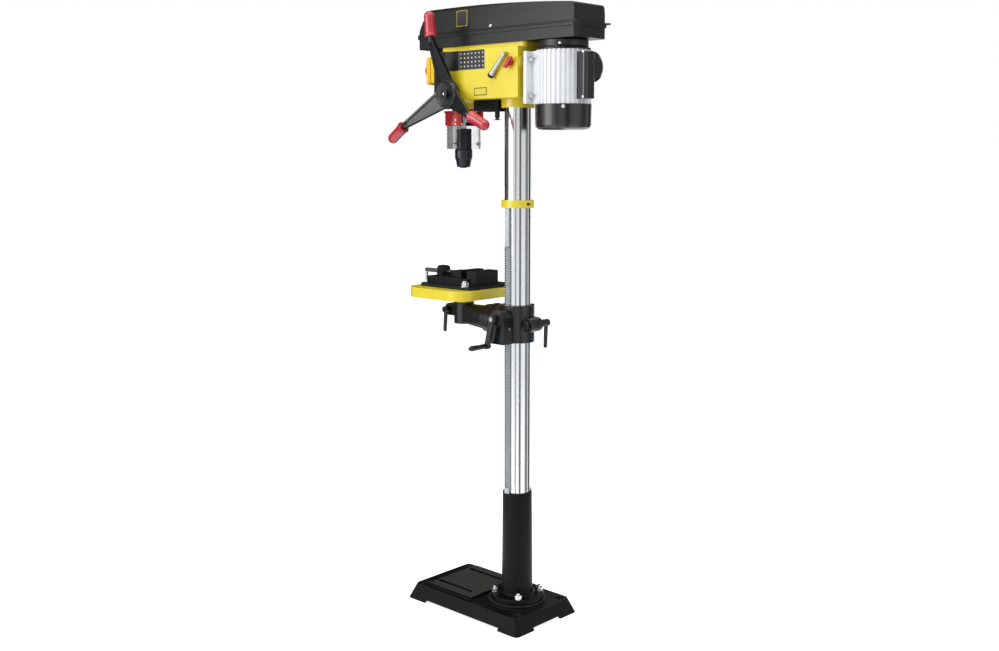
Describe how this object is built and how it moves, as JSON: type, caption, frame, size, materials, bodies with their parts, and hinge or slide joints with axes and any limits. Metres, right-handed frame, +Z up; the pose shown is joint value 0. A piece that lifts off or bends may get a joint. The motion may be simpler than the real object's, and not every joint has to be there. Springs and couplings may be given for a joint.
{
  "type": "pillar drill",
  "caption": "Floor-standing pillar drill: slotted base, round column with rack, lifting tilting table with drill vise, belt-driven head with quill feed, chuck guard and motor.",
  "frame": {"origin": "on the floor, at the centre of the base's floor-bolt holes", "axes": "+Z up, +X to the operator's right (feed handle side), -Y towards the operator"},
  "size_m": [0.2898, 0.6074, 1.6337],
  "materials": {
    "base_paint": "black textured machine enamel on grey iron",
    "support_paint": "black gloss machine enamel on grey iron",
    "bright_bolt": "zinc-plated steel",
    "column_steel": "ground steel tube",
    "yellow_cast": "yellow gloss machine enamel on grey iron",
    "yellow_plastic": "moulded yellow",
    "black_plastic": "moulded black",
    "black_sheet": "black stove enamel on sheet steel",
    "black_cast": "black machine enamel on grey iron",
    "tool_steel": "turned and ground steel",
    "chrome_steel": "chromium plate on steel",
    "vise_iron": "dark enamel on grey iron",
    "red_plastic": "moulded red",
    "green_plastic": "moulded green",
    "clear_shield": "clear polycarbonate",
    "belt_rubber": "wrapped V-belt rubber",
    "pulley_alloy": "turned aluminium",
    "motor_white": "off-white paint on cast aluminium",
    "chuck_black": "black oxide steel",
    "grip_red": "moulded red"
  },
  "bodies": {
    "stand": {"base": "base_paint", "column_support": "support_paint", "support_bolts": "bright_bolt", "column": "column_steel", "rack_ring": "yellow_cast", "head_casting": "yellow_cast", "front_panel": "black_plastic", "laser_unit": "black_plastic", "switch_box": "yellow_plastic", "spring_cap": "black_cast", "return_spring": "tool_steel", "head_bearings": "tool_steel", "belt_pan": "black_sheet", "front_belt": "belt_rubber", "rear_belt": "belt_rubber"},
    "swing": {"rack": "tool_steel"},
    "bracket": {"table_bracket": "black_cast"},
    "gear": {"lift_gear": "tool_steel"},
    "worm": {"worm_shaft": "tool_steel", "crank": "black_cast"},
    "crank_knob": {"crank_grip": "black_plastic"},
    "column_clamp": {"column_lock": "black_cast"},
    "arm": {"table_arm": "black_cast"},
    "arm_clamp": {"table_lock": "black_cast"},
    "table": {"table": "yellow_cast", "vise_body": "vise_iron", "vise_bolts": "bright_bolt"},
    "jaw": {"vise_jaw": "vise_iron"},
    "screw": {"vise_screw": "chrome_steel"},
    "cover": {"belt_cover": "black_plastic"},
    "carriage": {"slide_bars": "chrome_steel", "motor_frame": "motor_white", "motor_bell": "black_cast", "fan_cowl": "black_plastic", "terminal_box": "black_plastic"},
    "rotor": {"motor_rotor": "tool_steel", "motor_pulley": "pulley_alloy"},
    "idler": {"idler_pulley": "pulley_alloy"},
    "drive": {"spindle_pulley": "pulley_alloy", "drive_sleeve": "tool_steel"},
    "quill": {"quill": "tool_steel", "spindle_bearings": "tool_steel", "guard_clamp": "black_plastic"},
    "spindle": {"spindle": "tool_steel", "chuck_body": "chuck_black"},
    "chuck": {"chuck_sleeve": "chuck_black"},
    "jaw_a": {"chuck_jaw_1": "tool_steel"},
    "jaw_b": {"chuck_jaw_2": "tool_steel"},
    "jaw_c": {"chuck_jaw_3": "tool_steel"},
    "guard": {"guard_band": "red_plastic", "guard_shield": "clear_shield"},
    "feed": {"feed_shaft": "tool_steel", "feed_hub": "black_cast", "feed_grips": "grip_red"},
    "stop_ring": {"depth_ring": "black_cast"},
    "flap": {"switch_flap": "yellow_plastic"},
    "stop": {"stop_knob": "red_plastic"},
    "start": {"start_button": "green_plastic"},
    "tension": {"tension_lever": "chrome_steel"},
    "lock_knob": {"slide_lock": "red_plastic"}
  },
  "joints": [
    {"name": "table_swing", "type": "hinge", "parent": "stand", "child": "swing", "pos_m": [0, 0.099, 0.7], "axis": [0, 0, 1], "range_deg": [-170, 170]},
    {"name": "table_lift", "type": "slide", "parent": "swing", "child": "bracket", "axis": [0, 0, 1], "range_m": [-0.395, 0.18]},
    {"name": "lift_gear_turn", "type": "hinge", "parent": "bracket", "child": "gear", "pos_m": [0.0552, 0.099, 0.797], "axis": [0, 1, 0], "range_deg": [-760, 1640]},
    {"name": "crank_turn", "type": "hinge", "parent": "bracket", "child": "worm", "pos_m": [0.0552, 0.099, 0.825], "axis": [1, 0, 0], "range_deg": [-22700, 10400]},
    {"name": "crank_grip_spin", "type": "hinge", "parent": "worm", "child": "crank_knob", "pos_m": [0.12, 0.08102, 0.75322], "axis": [1, 0, 0], "continuous": true},
    {"name": "column_clamp_turn", "type": "hinge", "parent": "bracket", "child": "column_clamp", "pos_m": [0, 0.152, 0.806], "axis": [1, 0, 0], "range_deg": [-60, 60]},
    {"name": "table_tilt", "type": "hinge", "parent": "bracket", "child": "arm", "pos_m": [0, 0.007, 0.809], "axis": [0, 1, 0], "range_deg": [-45, 45]},
    {"name": "arm_clamp_turn", "type": "hinge", "parent": "arm", "child": "arm_clamp", "pos_m": [0, -0.145, 0.822], "axis": [1, 0, 0], "range_deg": [-60, 20]},
    {"name": "table_turn", "type": "hinge", "parent": "arm", "child": "table", "pos_m": [0, -0.101, 0.83], "axis": [0, 0, 1], "continuous": true},
    {"name": "vise_jaw_slide", "type": "slide", "parent": "table", "child": "jaw", "axis": [0, 1, 0], "range_m": [-0.034, 0.0215]},
    {"name": "vise_screw_turn", "type": "hinge", "parent": "jaw", "child": "screw", "pos_m": [0, -0.101, 0.924], "axis": [0, 1, 0], "range_deg": [-3100, 2000]},
    {"name": "cover_hinge", "type": "hinge", "parent": "stand", "child": "cover", "pos_m": [-0.069, 0.099, 1.5665], "axis": [0, -1, 0], "range_deg": [0, 95]},
    {"name": "motor_slide", "type": "slide", "parent": "stand", "child": "carriage", "axis": [0, 1, 0], "range_m": [-0.006, 0]},
    {"name": "tension_lever_turn", "type": "hinge", "parent": "stand", "child": "tension", "pos_m": [0.08, 0.126, 1.499], "axis": [1, 0, 0], "range_deg": [-31, 0]},
    {"name": "slide_lock_turn", "type": "hinge", "parent": "stand", "child": "lock_knob", "pos_m": [0.08, 0.144, 1.478], "axis": [1, 0, 0], "range_deg": [0, 90]},
    {"name": "motor_spin", "type": "hinge", "parent": "carriage", "child": "rotor", "pos_m": [0, 0.252, 1.45], "axis": [0, 0, 1], "continuous": true},
    {"name": "idler_spin", "type": "hinge", "parent": "stand", "child": "idler", "pos_m": [0, 0.084, 1.56], "axis": [0, 0, 1], "continuous": true},
    {"name": "drive_spin", "type": "hinge", "parent": "stand", "child": "drive", "pos_m": [0, -0.101, 1.56], "axis": [0, 0, 1], "continuous": true},
    {"name": "quill_feed", "type": "slide", "parent": "stand", "child": "quill", "axis": [0, 0, -1], "range_m": [0, 0.08], "stiffness_N_per_m": 400, "springref_m": -0.18},
    {"name": "feed_turn", "type": "hinge", "parent": "stand", "child": "feed", "pos_m": [0, -0.068, 1.406], "axis": [1, 0, 0], "range_deg": [-2, 440]},
    {"name": "depth_ring_turn", "type": "hinge", "parent": "feed", "child": "stop_ring", "pos_m": [0.08, -0.068, 1.406], "axis": [1, 0, 0], "range_deg": [-340, 0]},
    {"name": "spindle_spin", "type": "hinge", "parent": "quill", "child": "spindle", "pos_m": [0, -0.101, 1.4], "axis": [0, 0, 1], "continuous": true},
    {"name": "chuck_turn", "type": "hinge", "parent": "spindle", "child": "chuck", "pos_m": [0, -0.101, 1.27], "axis": [0, 0, 1], "range_deg": [0, 1150]},
    {"name": "guard_swing", "type": "hinge", "parent": "quill", "child": "guard", "pos_m": [-0.05375, -0.087, 1.345], "axis": [0, 0, -1], "range_deg": [0, 100]},
    {"name": "flap_lift", "type": "hinge", "parent": "stand", "child": "flap", "pos_m": [0.035, -0.1663, 1.512], "axis": [-1, 0, 0], "range_deg": [0, 48]},
    {"name": "stop_press", "type": "slide", "parent": "flap", "child": "stop", "axis": [0, 1, 0], "range_m": [0, 0.003], "stiffness_N_per_m": 600, "springref_m": -0.002},
    {"name": "start_press", "type": "slide", "parent": "stand", "child": "start", "axis": [0, 1, 0], "range_m": [0, 0.003], "stiffness_N_per_m": 400, "springref_m": -0.002},
    {"name": "jaw_a_slide", "type": "slide", "parent": "spindle", "child": "jaw_a", "axis": [-0.0713, -0.2662, -0.9613], "range_m": [0, 0.0081]},
    {"name": "jaw_b_slide", "type": "slide", "parent": "spindle", "child": "jaw_b", "axis": [0.2662, 0.0713, -0.9613], "range_m": [0, 0.0081]},
    {"name": "jaw_c_slide", "type": "slide", "parent": "spindle", "child": "jaw_c", "axis": [-0.1949, 0.1949, -0.9613], "range_m": [0, 0.0081]}
  ],
  "couplings": [
    {"joint": "lift_gear_turn", "follows": "table_lift", "rad_per_m": -71.429},
    {"joint": "crank_turn", "follows": "table_lift", "rad_per_m": 1000},
    {"joint": "vise_screw_turn", "follows": "vise_jaw_slide", "rad_per_m": 1570.8},
    {"joint": "tension_lever_turn", "follows": "motor_slide", "rad_per_m": 87.266},
    {"joint": "idler_spin", "follows": "motor_spin", "ratio": 0.66667},
    {"joint": "drive_spin", "follows": "motor_spin", "ratio": 0.53968},
    {"joint": "spindle_spin", "follows": "motor_spin", "ratio": 0.53968},
    {"joint": "feed_turn", "follows": "quill_feed", "rad_per_m": 95.238},
    {"joint": "jaw_a_slide", "follows": "chuck_turn", "m_per_rad": 0.0004},
    {"joint": "jaw_b_slide", "follows": "chuck_turn", "m_per_rad": 0.0004},
    {"joint": "jaw_c_slide", "follows": "chuck_turn", "m_per_rad": 0.0004}
  ]
}
